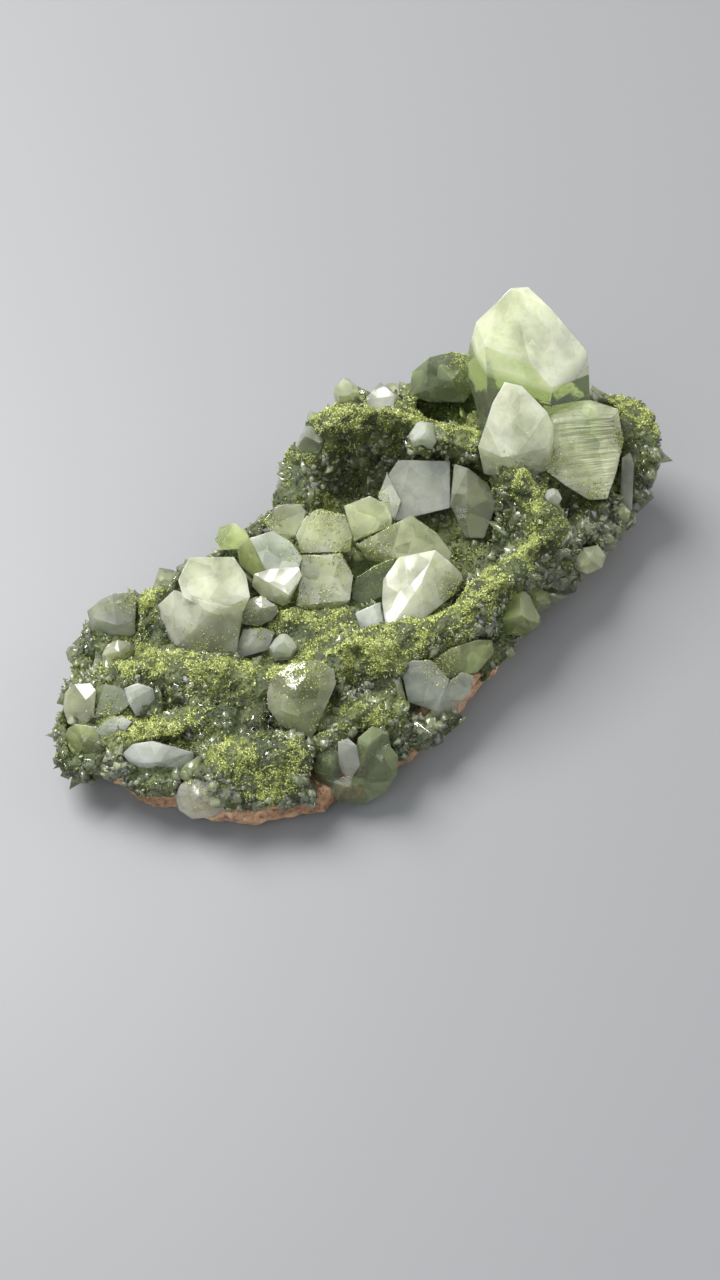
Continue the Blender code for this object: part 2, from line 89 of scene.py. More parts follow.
def corners(mesh):
    """Places and outward directions of a mesh's corners, as two arrays."""
    count = len(mesh.vertices)
    places = np.empty(count * 3)
    normals = np.empty(count * 3)
    mesh.vertices.foreach_get("co", places)
    mesh.vertex_normals.foreach_get("vector", normals)
    return places.reshape(-1, 3), normals.reshape(-1, 3)


def field(places, grain, seed):
    """Smooth noise from -1 to 1 at each place, with bumps about as wide as grain."""
    shift = Vector((seed * 7.3, seed * 3.1, seed * 5.7))
    return np.array([noise.noise(Vector(p) / grain + shift) for p in places])


def shader(material):
    """The material's surface shader."""
    return material.node_tree.nodes["Principled BSDF"]


def new_material(name):
    """A new material with nodes."""
    material = bpy.data.materials.new(name)
    material.use_nodes = True
    return material


def node(material, kind, **values):
    """One more node in a material, with its settings."""
    made = material.node_tree.nodes.new(kind)
    for key, value in values.items():
        setattr(made, key, value)
    return made


def link(material, output, socket):
    """Feeds one node's output to another node's input."""
    material.node_tree.links.new(output, socket)


def noise_texture(material, size, detail=4.0, rough=0.55, distortion=0.0, seed=0.0):
    """Noise with features about size wide, in metres, fixed to the piece."""
    place = node(material, "ShaderNodeTexCoord")
    shift = node(material, "ShaderNodeMapping")
    shift.inputs["Location"].default_value = (seed, seed * 0.7, -seed)
    made = node(material, "ShaderNodeTexNoise")
    made.inputs["Scale"].default_value = 1.0 / size
    made.inputs["Detail"].default_value = detail
    made.inputs["Roughness"].default_value = rough
    made.inputs["Distortion"].default_value = distortion
    link(material, place.outputs["Object"], shift.inputs["Vector"])
    link(material, shift.outputs["Vector"], made.inputs["Vector"])
    return made.outputs["Fac"]


def ramp(material, value, stops):
    """Colours along a value: stops are (place, colour)."""
    made = node(material, "ShaderNodeValToRGB")
    band = made.color_ramp
    while len(band.elements) < len(stops):
        band.elements.new(0.5)
    for element, (place, colour) in zip(band.elements, stops):
        element.position = place
        element.color = (*colour, 1.0)
    link(material, value, made.inputs["Fac"])
    return made.outputs["Color"]


def spread(material, value, low, high, to_low=0.0, to_high=1.0):
    """A value's range from low to high, stretched to another range."""
    made = node(material, "ShaderNodeMapRange")
    made.inputs["From Min"].default_value = low
    made.inputs["From Max"].default_value = high
    made.inputs["To Min"].default_value = to_low
    made.inputs["To Max"].default_value = to_high
    link(material, value, made.inputs["Value"])
    return made.outputs["Result"]


def multiplied(material, one, other):
    """The product of two colour outputs."""
    made = node(material, "ShaderNodeMix", data_type="RGBA", blend_type="MULTIPLY")
    made.inputs["Factor"].default_value = 1.0
    for slot, colour in zip([s for s in made.inputs if s.type == "RGBA"], (one, other)):
        link(material, colour, slot)
    return [s for s in made.outputs if s.type == "RGBA"][0]


def relief(material, *layers):
    """Bump from layers of (value, depth in metres)."""
    before = None
    for value, depth in layers:
        made = node(material, "ShaderNodeBump")
        made.inputs["Distance"].default_value = depth
        link(material, value, made.inputs["Height"])
        if before is not None:
            link(material, before, made.inputs["Normal"])
        before = made.outputs["Normal"]
    link(material, before, shader(material).inputs["Normal"])


rock_cell = 0.55 * mm
rock_rough = 0.45 * mm
rock_chip = 2.2 * mm
rock_flat_up_to = 1.2 * mm

rock = copy_of("host_rock", "rock_plate")
mesh_evenly(rock, rock_cell)
places, normals = corners(rock.data)
side = np.clip(places[:, 2:3] / rock_flat_up_to, 0, 1)
lumps = field(places, rock_chip, 1) + 0.5 * field(places, rock_chip / 2.5, 2)
places += normals * side * rock_rough * lumps[:, None]
rock.data.vertices.foreach_set("co", places.ravel())
rock.data.update()

rock_finish = new_material("iron_stained_rock")
patch = noise_texture(rock_finish, 7 * mm, 5)
speck = noise_texture(rock_finish, 0.9 * mm, 6, 0.7, seed=0.3)
rock_base = ramp(rock_finish, patch, [
    (0.30, (0.22, 0.12, 0.075)), (0.42, (0.42, 0.24, 0.14)), (0.55, (0.64, 0.42, 0.25)),
    (0.68, (0.44, 0.25, 0.18))])
rock_dots = ramp(rock_finish, speck, [(0.35, (0.35, 0.3, 0.28)), (0.52, (1, 1, 1)), (0.7, (1.3, 1.2, 1.0))])
link(rock_finish, multiplied(rock_finish, rock_base, rock_dots), shader(rock_finish).inputs["Base Color"])
shader(rock_finish).inputs["Roughness"].default_value = 0.82
relief(rock_finish, (speck, 0.25 * mm), (noise_texture(rock_finish, 0.3 * mm, 3, seed=0.5), 0.08 * mm))
rock.data.materials.append(rock_finish)
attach(rock, "root")
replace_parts(rock, "host_rock")


# The epidote crust: one continuous felt of fine epidote that covers the rock and rises into two
# ridges. This skin is its body, dark green between the grains that stand on it.

crust_cell = 0.48 * mm
pocket_fill = 5 * mm
pocket_inset = 0.97
crust_lip = 6 * mm
crust_underside = 6.6 * mm
over_the_edge = {"quartz_front_left", "quartz_front_nest", "quartz_near_slope", "quartz_right_corner",
                 "quartz_near_right_knob", "quartz_near_wall", "quartz_right_pendant"}
crust = copy_of("epidote_crust", "epidote_skin")
body = bmesh.new()
body.from_mesh(crust.data)
for name in sorted(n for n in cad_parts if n.startswith("quartz_")):
    if name in over_the_edge:
        continue
    low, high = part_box(name)
    starts = max(low[2], crust_lip)
    share = min(0.5, pocket_fill / (high[2] - starts))
    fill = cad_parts[name].data.copy()
    fill.transform(Matrix.Diagonal((pocket_inset, pocket_inset, share, 1)))
    fill.transform(Matrix.Translation((0, 0, starts - low[2] * share)))
    body.from_mesh(fill)
    bpy.data.meshes.remove(fill)
body.to_mesh(crust.data)
body.free()
mesh_evenly(crust, crust_cell)
places, normals = corners(crust.data)
stands = (0.25 * mm + 0.55 * mm * field(places, 4.5 * mm, 5) + 0.55 * mm * field(places, 2.2 * mm, 3)
          + 0.3 * mm * field(places, 0.9 * mm, 4))
on_rock = (normals[:, 2] < -0.5) & (places[:, 2] < crust_underside)
stands[on_rock] = 0.0
places += normals * stands[:, None]
crust.data.vertices.foreach_set("co", places.ravel())
crust.data.update()

skin_finish = new_material("epidote_felt")
patch = noise_texture(skin_finish, 4 * mm, 5)
grit = noise_texture(skin_finish, 0.5 * mm, 4, 0.7, seed=0.2)
skin_base = ramp(skin_finish, patch, [
    (0.30, (0.02, 0.026, 0.01)), (0.5, (0.07, 0.09, 0.03)), (0.7, (0.16, 0.19, 0.055))])
skin_grit = ramp(skin_finish, grit, [(0.38, (0.35, 0.35, 0.35)), (0.6, (1.2, 1.2, 1.1))])
link(skin_finish, multiplied(skin_finish, skin_base, skin_grit), shader(skin_finish).inputs["Base Color"])
shader(skin_finish).inputs["Roughness"].default_value = 0.5
relief(skin_finish, (grit, 0.3 * mm))
crust.data.materials.append(skin_finish)
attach(crust, "root")
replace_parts(crust, "epidote_crust")


# The quartz: pale green crystals that grew together out of the crust, clear to milky. Their edges
# are a little worn and corners are chipped. Each one's front corners stand where the photograph
# shows them, as pixel x, y and a height in mm, and its back goes on into the crust.

eye = Vector((-80.6, -99.7, 176.1)) * mm
aim = Vector((-4.7, -2.5, 0.0)) * mm
photo_middle = (360, 640)
photo_focal = 1250
view_turn = (aim - eye).to_track_quat("-Z", "Y")
edge_wear = 0.06 * mm
worn_edge = math.radians(14)
chipped = 0.25
least_chip = 0.3 * mm
largest_chip = 0.9 * mm
first_wear = 100
flat_enough = math.radians(5)
least_back = 0.3
full_back = 0.6
clear_of_table = 0.8 * mm


def seen(x, y, height):
    """The place at a height in mm that the photograph shows at a pixel."""
    ray = view_turn @ Vector((
        (x - photo_middle[0]) / photo_focal, (photo_middle[1] - y) / photo_focal, -1.0))
    return eye + ray * ((height * mm - eye.z) / ray.z)


def flat(a, b, c, *pixels):
    """Corners of one flat face: three with heights, and more that lie in their plane."""
    places = [seen(*corner) for corner in (a, b, c)]
    out = (places[1] - places[0]).cross(places[2] - places[0])
    more = []
    for x, y in pixels:
        ray = seen(x, y, 0) - eye
        spot = eye + ray * ((places[0] - eye).dot(out) / ray.dot(out))
        more.append((x, y, spot.z / mm))
    return [a, b, c] + more


def wear_down(thing, seed):
    """Chips some of a crystal's corners and rounds its edges a little."""
    body = bmesh.new()
    body.from_mesh(thing.data)
    luck = np.random.default_rng(seed)
    pointed = [v for v in body.verts
               if len(v.link_edges) == 3 and all(e.is_convex for e in v.link_edges)]
    for vert in [v for v in pointed if luck.random() < chipped]:
        bmesh.ops.bevel(
            body, geom=[vert], offset=luck.uniform(least_chip, largest_chip), affect="VERTICES",
            clamp_overlap=True, segments=1)
    body.to_mesh(thing.data)
    body.free()
    step = thing.modifiers.new("wear", "BEVEL")
    step.width = edge_wear
    step.segments = 2
    step.limit_method = "ANGLE"
    step.angle_limit = worn_edge
    step.use_clamp_overlap = True
    settle(thing)


def hull_piece(name, places):
    """The smallest body without hollows around some places, as a new piece with flat faces."""
    body = bmesh.new()
    for place in places:
        body.verts.new(place)
    made = bmesh.ops.convex_hull(body, input=body.verts[:])
    spare = {v for v in made["geom_interior"] + made["geom_unused"] if isinstance(v, bmesh.types.BMVert)}
    bmesh.ops.delete(body, geom=list(spare), context="VERTS")
    bmesh.ops.dissolve_limit(body, angle_limit=flat_enough, verts=body.verts[:], edges=body.edges[:])
    bmesh.ops.recalc_face_normals(body, faces=body.faces[:])
    mesh = bpy.data.meshes.new(name)
    body.to_mesh(mesh)
    body.free()
    thing = bpy.data.objects.new(name, mesh)
    bpy.context.scene.collection.objects.link(thing)
    return thing


crystals = []


def crystal(name, stands_for, finish, depth, front_corners):
    """A crystal from its front corners. Its back is depth mm behind them, less near its top."""
    front = [seen(*corner) for corner in front_corners]
    top = max(p.z for p in front)
    low = min(p.z for p in front)
    back = []
    for p in front:
        share = min(1.0, max(least_back, (top - p.z) / (full_back * (top - low))))
        way = (p - eye).normalized()
        back.append(p + way * min(depth * share * mm, (p.z - clear_of_table) / -way.z))
    grown(hull_piece(name, front + back), stands_for, finish)


def grown(thing, stands_for, finish):
    """Gives a crystal its wear and finish and its place on the specimen."""
    wear_down(thing, first_wear + len(crystals))
    thing.data.materials.append(finish)
    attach(thing, "root")
    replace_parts(thing, stands_for)
    crystals.append(thing)


quartz_index = 1.544
quartz_glow = 0.9
glow_colours = (1.0, 1.0, 0.7)
glow_reach = 2.5 * mm
milk_patch = 9 * mm
broken_cell = 3.4 * mm
cloud_size = 2.2 * mm
fine_size = 0.5 * mm
fine_depth = 0.008 * mm
line_spacing = 1 * mm
line_stretch = (0.12, 0.12, 1.6)


def quartz_finish(name, tint, clear, absorb, density, haze=(0.02, 0.10), lined=0.05 * mm,
                  inner=(0.84, 1.0), dents=0.15 * mm, across=(0, 0, 1)):
    """Quartz: tinted, clear to milky in soft zones, with growth lines and shallow broken dents."""
    material = new_material(name)
    milk = noise_texture(material, milk_patch, 2, 0.5)
    cell = node(material, "ShaderNodeTexVoronoi")
    cell.inputs["Scale"].default_value = 1 / broken_cell
    link(material, milk.node.inputs["Vector"].links[0].from_socket, cell.inputs["Vector"])
    cloud = noise_texture(material, cloud_size, 5, 0.65, 0.3, seed=0.8)
    fine = noise_texture(material, fine_size, 4, 0.6, seed=0.4)
    lines = noise_texture(material, line_spacing, 2, seed=0.6)
    stretch = lines.node.inputs["Vector"].links[0].from_node
    stretch.inputs["Scale"].default_value = line_stretch
    turn = node(material, "ShaderNodeMapping")
    upright = Vector(across).rotation_difference(Vector((0, 0, 1)))
    turn.inputs["Rotation"].default_value = upright.to_euler()
    link(material, stretch.inputs["Vector"].links[0].from_socket, turn.inputs["Vector"])
    link(material, turn.outputs["Vector"], stretch.inputs["Vector"])
    darker = tuple(0.86 * c for c in tint)
    lighter = tuple(min(1.0, 1.06 * c) for c in tint)
    base = ramp(material, cloud, [(0.3, darker), (0.5, tint), (0.72, lighter)])
    link(material, base, shader(material).inputs["Base Color"])
    both = node(material, "ShaderNodeMath", operation="ADD")
    link(material, milk, both.inputs[0])
    link(material, spread(material, cloud, 0.3, 0.7, -0.04, 0.04), both.inputs[1])
    soft = spread(material, both.outputs[0], 0.36, 0.64, clear[1], clear[0])
    less = node(material, "ShaderNodeMath", operation="MULTIPLY", use_clamp=True)
    link(material, soft, less.inputs[0])
    link(material, spread(material, cell.outputs["Color"], 0.1, 0.9, *inner), less.inputs[1])
    link(material, less.outputs[0], shader(material).inputs["Transmission Weight"])
    link(material, spread(material, fine, 0.35, 0.7, *haze), shader(material).inputs["Roughness"])
    shader(material).inputs["IOR"].default_value = quartz_index
    shader(material).inputs["Subsurface Weight"].default_value = quartz_glow
    shader(material).inputs["Subsurface Radius"].default_value = glow_colours
    shader(material).inputs["Subsurface Scale"].default_value = glow_reach
    relief(material, (cell.outputs["Distance"], dents), (lines, lined), (fine, fine_depth))
    inside = node(material, "ShaderNodeVolumeAbsorption")
    inside.inputs["Color"].default_value = (*absorb, 1.0)
    inside.inputs["Density"].default_value = density
    output = [n for n in material.node_tree.nodes if n.type == "OUTPUT_MATERIAL"][0]
    link(material, inside.outputs["Volume"], output.inputs["Volume"])
    return material


pale_quartz = quartz_finish("quartz_pale_green", (0.88, 0.94, 0.64), (0.78, 0.94), (0.84, 0.94, 0.38), 60.0)
cream_quartz = quartz_finish(
    "quartz_cream", (0.89, 0.92, 0.73), (0.58, 0.82), (0.86, 0.95, 0.38), 70.0, (0.12, 0.24),
    dents=0.3 * mm)
white_quartz = quartz_finish("quartz_white", (0.84, 0.89, 0.78), (0.66, 0.86), (0.88, 0.94, 0.70), 60.0)
frosted_quartz = quartz_finish(
    "quartz_frosted", (0.84, 0.90, 0.76), (0.68, 0.88), (0.88, 0.93, 0.66), 60.0, (0.03, 0.12))
smoky_quartz = quartz_finish(
    "quartz_smoky", (0.76, 0.79, 0.66), (0.66, 0.84), (0.84, 0.87, 0.62), 60.0, (0.05, 0.14),
    inner=(0.9, 1.0))
green_quartz = quartz_finish("quartz_deep_green", (0.80, 0.90, 0.44), (0.82, 0.96), (0.76, 0.88, 0.28), 90.0)
dark_quartz = quartz_finish("quartz_dark", (0.56, 0.64, 0.38), (0.88, 0.97), (0.58, 0.68, 0.30), 130.0)
druse_quartz = quartz_finish("quartz_druse", (0.78, 0.89, 0.46), (0.80, 0.94), (0.66, 0.84, 0.20), 350.0)
across_slab = (0.363, 0.822, 0.439)
striated_quartz = quartz_finish(
    "quartz_striated", (0.88, 0.94, 0.62), (0.55, 0.82), (0.84, 0.93, 0.38), 70.0, lined=0.45 * mm,
    across=across_slab)


# The tall point: the largest crystal, a leaning six-sided prism under a blunt tip, cream and milky
# in its tip and clear lower down. Its far side is its near side turned half round its own line.

point_foot = seen(534, 440, 14)
point_front = [seen(*corner) for corner in [
    (511, 288, 42), (528, 287, 41), (538, 297, 39.8), (567, 329, 35.6), (587, 351, 32.2),
    (589, 375, 30.5), (552, 388, 32.8), (530, 364, 35.6), (485, 346, 36.4), (476, 322, 36),
    (474, 350, 31), (546, 462, 19.5), (490, 455, 18.5), (591, 436, 18.5), (480, 428, 16)]]
point_line = point_front[0] - point_foot
half_turn = Matrix.Rotation(math.pi, 3, point_line)
far_share = 0.9
point_back = [point_foot + far_share * (half_turn @ (p - point_foot))
              + (1 - far_share) * (p - point_foot).project(point_line) for p in point_front]
point_quartz = quartz_finish(
    "quartz_point", (0.88, 0.94, 0.66), (0.52, 0.76), (0.82, 0.95, 0.30), 80.0, dents=0.05 * mm)
tip_starts = 35.5 * mm
clear_from = 31.5 * mm
foot_clearness = 0.90
height = node(point_quartz, "ShaderNodeSeparateXYZ")
place = node(point_quartz, "ShaderNodeTexCoord")
link(point_quartz, place.outputs["Object"], height.inputs[0])
clearer = node(point_quartz, "ShaderNodeMath", operation="MAXIMUM")
milk = shader(point_quartz).inputs["Transmission Weight"].links[0].from_socket
link(point_quartz, milk, clearer.inputs[0])
from_foot = spread(point_quartz, height.outputs["Z"], clear_from, tip_starts, foot_clearness, 0.0)
link(point_quartz, from_foot, clearer.inputs[1])
link(point_quartz, clearer.outputs[0], shader(point_quartz).inputs["Transmission Weight"])
grown(hull_piece("tall_point", point_front + point_back), "quartz_tall_cluster", point_quartz)


# What leans on the tall point: a blunt companion in front, a flat striated slab on the right, and a
# dark shoulder of clear green quartz on the left.

crystal("companion", "quartz_tall_cluster", cream_quartz, 8, flat(
    (505, 382, 33.4), (547, 412, 30.4), (486, 424, 29.4), (522, 386), (533, 436), (493, 402)) + [
    (554, 427, 28.4), (547, 447, 26.6), (517, 455, 27.2), (501, 457, 26.2), (478, 447, 25.6),
    (552, 468, 22), (519, 482, 21.5), (484, 474, 20)])
crystal("slab", "quartz_tall_cluster", striated_quartz, 9, [
    (545, 402, 27.5), (590, 400, 26.5), (618, 409, 24.5), (623, 440, 21), (617, 470, 19),
    (607, 499, 16.5), (589, 500, 17), (566, 486, 20), (545, 470, 22.5), (541, 440, 26), (543, 412, 27.5),
    (556, 420, 28), (612, 418, 24.8)])
crystal("shoulder", "quartz_tall_cluster", dark_quartz, 9, [
    (409, 396, 22), (412, 372, 24.5), (430, 357, 26.5), (453, 352, 27.5), (472, 357, 27),
    (478, 385, 24), (464, 402, 23), (441, 366, 28.2), (430, 402, 22), (452, 380, 27)])


# The bright point and the small white one beside it, in the middle of the specimen. The bright one
# has two broad faces that meet in a long ridge.

crystal("bright_point", "quartz_bright_point", cream_quartz, 7, flat(
    (435, 550, 21.2), (421, 583, 19.2), (383, 580, 16), (399, 557), (387, 633), (382, 602)) + flat(
    (435, 550, 21.2), (421, 583, 19.2), (461, 573, 16.6), (450, 562), (463, 580), (425, 618),
    (455, 594))[2:])
crystal("lilac_white", "quartz_bright_small", white_quartz, 4, [
    (355, 613, 14.2), (380, 602, 15.3), (384, 625, 14.2), (361, 630, 12.8), (371, 636, 11.5),
    (384, 636, 12)])


# The middle cluster: a close pack of blunt crystals, from clear green to frosted, whose broad ends
# face up.

crystal("long_point", "quartz_middle_cluster", pale_quartz, 5, flat(
    (356, 545, 14.8), (411, 515, 16.8), (451, 552, 14.8), (437, 533), (395, 557), (449, 562)) + [
    (368, 560, 12.5), (440, 572, 12)])
crystal("olive_point", "quartz_middle_cluster", dark_quartz, 5, flat(
    (356, 578, 13), (395, 557, 14.4), (383, 595, 11.6), (352, 598), (362, 605), (368, 570)) + [
    (388, 580, 12.4)])
crystal("grey_point", "quartz_middle_cluster", frosted_quartz, 6, flat(
    (250, 538, 17.4), (273, 531, 18.4), (302, 558, 17), (299, 569), (266, 571), (292, 543)) + [
    (258, 560, 14)])
crystal("curved_point", "quartz_middle_cluster", cream_quartz, 5, flat(
    (254, 574, 15.2), (299, 567, 16.4), (289, 595, 14.8), (270, 569), (302, 576), (271, 585)) + [
    (289, 603, 12), (283, 606, 11), (262, 597, 11.5), (252, 586, 12.5)])
crystal("middle_green_left", "quartz_middle_cluster", green_quartz, 3.5, [
    (237, 548, 14), (250, 538, 16.5), (262, 545, 16), (268, 571, 14), (256, 578, 11.5),
    (240, 566, 11.5)])
crystal("middle_far_left", "quartz_middle_cluster", green_quartz, 3, flat(
    (215, 540, 14), (220, 527, 15.4), (246, 531, 16), (235, 523), (250, 539), (238, 549)) + [
    (222, 550, 12)])
crystal("middle_square", "quartz_middle_cluster", pale_quartz, 6, flat(
    (302, 556, 16.6), (341, 554, 17), (297, 606, 12.4), (353, 576), (350, 600), (300, 584)) + [
    (337, 611, 10.6), (305, 612, 10.6)])
crystal("middle_dusted", "quartz_middle_cluster", pale_quartz, 6, flat(
    (296, 536, 16.4), (318, 509, 18.4), (352, 536, 17.2), (345, 516), (303, 519), (337, 552)) + [
    (301, 553, 14.8), (350, 552, 14.6)])
crystal("middle_far", "quartz_middle_cluster", pale_quartz, 3, flat(
    (264, 521, 15.6), (277, 505, 17), (306, 513, 16.8), (300, 504), (296, 534), (272, 533)) + [
    (286, 541, 14)])
crystal("middle_far_right", "quartz_middle_cluster", pale_quartz, 4, flat(
    (344, 506, 15.6), (370, 496, 16.6), (392, 518, 15.4), (388, 505), (372, 533), (350, 530)) + [
    (354, 541, 13.6), (392, 526, 14)])


# The basin's pair: a grey crystal with a cream edge and an olive one, side by side under the far
# ridge.

crystal("basin_grey", "quartz_basin_pair", smoky_quartz, 6, flat(
    (398, 460, 17.6), (450, 461, 18.4), (430, 513, 12.6), (450, 508), (400, 500), (389, 474)) + [
    (414, 515, 12), (397, 521, 11.4), (378, 497, 13.2)])
crystal("basin_olive", "quartz_basin_pair", pale_quartz, 6, flat(
    (454, 480, 17.6), (488, 484, 17), (466, 538, 10), (497, 503), (484, 538), (450, 505)) + [
    (454, 464, 19.4), (468, 468, 19.6)])
crystal("basin_cream", "quartz_basin_pair", cream_quartz, 3, flat(
    (387, 473, 16.4), (401, 501, 14.2), (378, 497, 13.6), (395, 521), (394, 487)))


# The pale block: a large broken crystal at the left, milky with dented faces, and two smoky knobs at
# its right foot.

crystal("pale_block", "quartz_pale_cluster", cream_quartz, 7, flat(
    (190, 557, 20.6), (234, 557, 19.2), (203, 603, 18.0), (246, 575), (250, 597), (213, 613),
    (178, 580), (183, 597)) + [(240, 618, 13.5)])
crystal("pale_block_low", "quartz_pale_cluster", cream_quartz, 7, flat(
    (174, 590, 18.2), (205, 604, 18.6), (232, 650, 12.2), (218, 607), (157, 625), (155, 608)) + [
    (244, 606, 15), (236, 655, 10.5), (205, 662, 10), (176, 646, 11.6)])
crystal("smoky_knob", "quartz_pale_cluster", smoky_quartz, 6, [
    (238, 613, 13.5), (250, 599, 15), (262, 596, 15.5), (276, 606, 14), (279, 612, 12.8),
    (272, 620, 12), (258, 626, 11.5), (240, 624, 11.8), (262, 608, 15.2)])
crystal("smoky_low", "quartz_pale_cluster", smoky_quartz, 5, [
    (243, 630, 12), (262, 628, 12.8), (275, 632, 12.2), (268, 650, 10.2), (243, 657, 9.6),
    (234, 655, 9.8)])


# The left end: a smoky block and a bead at the back, and below them a heap of small crystals, with
# a white point that lies along the edge.

crystal("left_block", "quartz_left_block", smoky_quartz, 4, [
    (100, 600, 15), (112, 594, 16.5), (133, 592, 15.8), (136, 600, 14.8), (135, 621, 12.5),
    (116, 625, 12.8), (96, 619, 13.2), (87, 611, 13), (92, 632, 9.6), (108, 640, 9), (135, 641, 9)])
crystal("left_bead", "quartz_left_block", pale_quartz, 4, [
    (102, 655, 11.5), (107, 645, 12.5), (117, 640, 13.2), (130, 642, 12.8), (134, 649, 11.8),
    (123, 662, 10.4), (106, 666, 9.6), (119, 652, 13)])
crystal("end_yellow", "quartz_left_end", pale_quartz, 6, [
    (65, 693, 12), (74, 684, 13.4), (90, 683, 13.8), (96, 690, 13.8), (94, 716, 11.6),
    (84, 726, 9.8), (68, 724, 8.8), (63, 708, 10.2), (86, 700, 13.4)])
crystal("end_dark", "quartz_left_end", dark_quartz, 6, [
    (95, 688, 13), (105, 684, 14), (121, 687, 13.8), (134, 700, 12.4), (120, 714, 11.2),
    (94, 718, 11)])
crystal("end_white", "quartz_left_end", frosted_quartz, 5, [
    (124, 688, 13.6), (138, 683, 14.4), (153, 688, 13.8), (153, 700, 12.4), (158, 713, 10.4),
    (136, 716, 11), (128, 702, 12.8)])
crystal("end_small", "quartz_left_end", frosted_quartz, 5, [
    (95, 731, 11), (108, 719, 12.6), (122, 716, 12.8), (132, 722, 12.2), (114, 744, 10), (103, 742, 9.4)])
crystal("end_low", "quartz_left_end", green_quartz, 6, [
    (61, 745, 7.4), (61, 733, 9.4), (75, 724, 11.2), (96, 727, 11.4), (105, 741, 10), (99, 758, 8.2),
    (90, 772, 6), (82, 774, 5.4), (70, 763, 6), (84, 742, 10.4)])
crystal("lying_point", "quartz_lying_point", white_quartz, 4, [
    (122, 754, 10.6), (133, 744, 12), (153, 741, 12.4), (170, 748, 12), (193, 752, 11.4),
    (194, 758, 10.4), (160, 762, 10.6), (143, 763, 10.4), (128, 761, 10), (150, 776, 8), (187, 774, 8.2)])
crystal("front_left", "quartz_front_left", frosted_quartz, 6, [
    (175, 795, 7.4), (181, 784, 9.2), (198, 778, 10), (216, 785, 9.2), (228, 797, 7.2), (231, 806, 5.8),
    (214, 817, 4.6), (192, 819, 4.2), (179, 810, 5.4), (199, 796, 9.4)])


# The near side: a dusted knob, a nest of small crystals at the lower edge, and crystals that stand
# out of the near slope up to the right corner.

crystal("dusted_knob", "quartz_dusted_knob", pale_quartz, 8, [
    (267, 693, 15.2), (272, 678, 17), (290, 664, 18.5), (318, 661, 18.8), (334, 670, 17.6),
    (336, 684, 16.2), (325, 700, 15), (318, 722, 12.2), (312, 738, 10.4), (298, 734, 10.8),
    (280, 725, 11.8), (268, 708, 13.6), (296, 690, 18)])
crystal("nest_dark", "quartz_front_nest", dark_quartz, 7, [
    (310, 738, 10.5), (324, 732, 12.4), (338, 736, 12.6), (338, 770, 7.6), (328, 784, 5.6),
    (312, 768, 7.2)])
crystal("nest_pale", "quartz_front_nest", frosted_quartz, 5, [
    (338, 742, 12.8), (348, 738, 13.2), (357, 746, 12.4), (360, 765, 9.6), (351, 780, 7),
    (339, 770, 8.4)])
crystal("nest_green", "quartz_front_nest", dark_quartz, 7, [
    (358, 738, 13), (372, 726, 14.4), (388, 732, 13.4), (392, 752, 10.4), (390, 772, 7),
    (372, 785, 5.4), (352, 782, 6.4), (370, 745, 13.4)])
crystal("nest_low", "quartz_front_nest", dark_quartz, 5, [
    (326, 780, 7), (352, 776, 7.6), (380, 778, 7), (386, 792, 4.6), (362, 805, 3), (338, 802, 3),
    (350, 788, 6.6)])
crystal("nest_left", "quartz_front_nest", dark_quartz, 6, [
    (312, 752, 9.6), (326, 744, 11), (340, 752, 10.6), (342, 774, 8), (334, 796, 4.4), (320, 788, 5),
    (312, 770, 7.4), (330, 764, 10)])
crystal("nest_right", "quartz_front_nest", dark_quartz, 6, [
    (372, 752, 11.4), (388, 744, 12), (398, 756, 10.4), (397, 774, 7.8), (386, 792, 5), (370, 790, 5.4),
    (366, 768, 8.8), (382, 762, 10.8)])
crystal("slope_white", "quartz_near_slope", frosted_quartz, 6, flat(
    (401, 668, 14.2), (432, 661, 15.4), (440, 699, 10.4), (412, 660), (449, 680), (416, 695)) + [
    (408, 702, 9.8), (438, 712, 8)])
crystal("slope_grey", "quartz_near_slope", frosted_quartz, 6, [
    (449, 682, 12), (462, 672, 12.8), (474, 676, 11.4), (470, 692, 9), (450, 716, 6), (438, 722, 5.8),
    (430, 718, 7), (432, 704, 9.2), (444, 700, 9.8)])
crystal("slope_left", "quartz_near_slope", green_quartz, 6, [
    (374, 684, 12.2), (400, 677, 13.4), (406, 700, 10.8), (395, 712, 9.4), (376, 700, 10.4)])
crystal("slope_upper", "quartz_near_slope", green_quartz, 5, [
    (432, 662, 15), (452, 648, 15.8), (476, 640, 15.2), (492, 640, 13.6), (494, 652, 11.4),
    (478, 672, 9.8), (462, 678, 10.2), (446, 678, 12.4)])
crystal("right_knob", "quartz_near_right_knob", pale_quartz, 5, [
    (574, 560, 12.6), (583, 548, 13.6), (598, 545, 12.6), (606, 556, 10.6), (602, 568, 8.8),
    (588, 574, 8.6), (577, 570, 10.4), (589, 558, 13.2)])
crystal("right_blade", "quartz_right_corner", smoky_quartz, 3, [
    (622, 458, 17.2), (630, 452, 18), (634, 464, 16.4), (632, 510, 9.6), (624, 514, 8.8),
    (620, 500, 10.6)])


# The other crystals: single small ones on the rim, the back and the right corner. They keep the
# shapes of their solids.

small_finishes = {
    "quartz_rim_round": smoky_quartz,
    "quartz_rim_white": frosted_quartz,
    "quartz_rim_facet": frosted_quartz,
    "quartz_near_wall": green_quartz,
    "quartz_white_bead": white_quartz,
    "quartz_ridge_bead": smoky_quartz,
}
replaced = {name for piece in crystals for name in piece["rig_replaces"]}
for name in sorted(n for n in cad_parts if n.startswith("quartz_") and n not in replaced):
    grown(copy_of(name, name + "_grown"), name, small_finishes.get(name, pale_quartz))


# The druse: thousands of small quartz points, grey-green and glassy, that stand in the crust between
# the large ones. They are thickest on the near slope and at the left end.

chance = np.random.default_rng(11)
tiny = 1e-12
bare_below = 6.9 * mm


